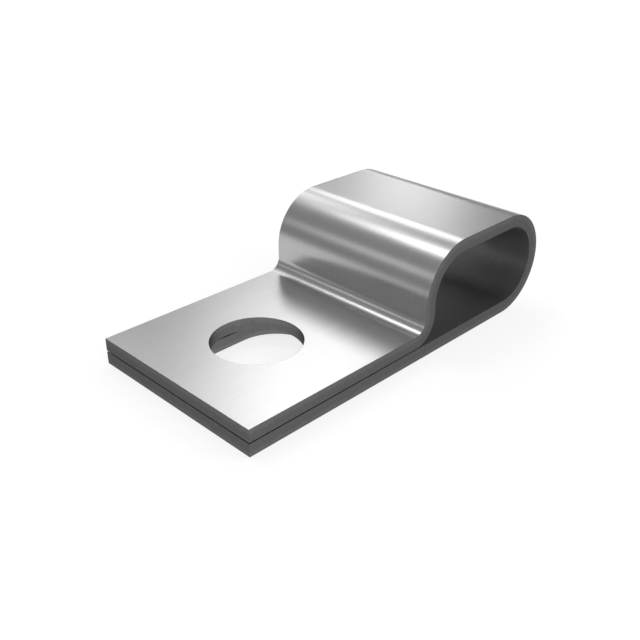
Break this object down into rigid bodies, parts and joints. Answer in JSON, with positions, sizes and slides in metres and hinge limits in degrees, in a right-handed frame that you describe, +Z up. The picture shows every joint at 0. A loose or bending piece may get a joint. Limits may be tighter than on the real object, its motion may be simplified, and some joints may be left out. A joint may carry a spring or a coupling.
{
  "type": "p clip",
  "caption": "Folded sheet steel P clip: two flat leaves with a screw hole over an adjusting slot, and a flat-topped loop that holds a flat cable.",
  "frame": {"origin": "on the screw hole's axis, at the underside that lies on the wall or panel", "axes": "+X from the screw hole towards the cable loop, +Y across the strip along the cable, +Z up out of the mounting surface towards the screw's head"},
  "size_m": [0.0297, 0.015, 0.0079],
  "materials": {
    "bright_steel": "satin bright steel strip, cold rolled, with darker sheared edges"
  },
  "bodies": {
    "root": {"clip_strip": "bright_steel"}
  },
  "joints": []
}
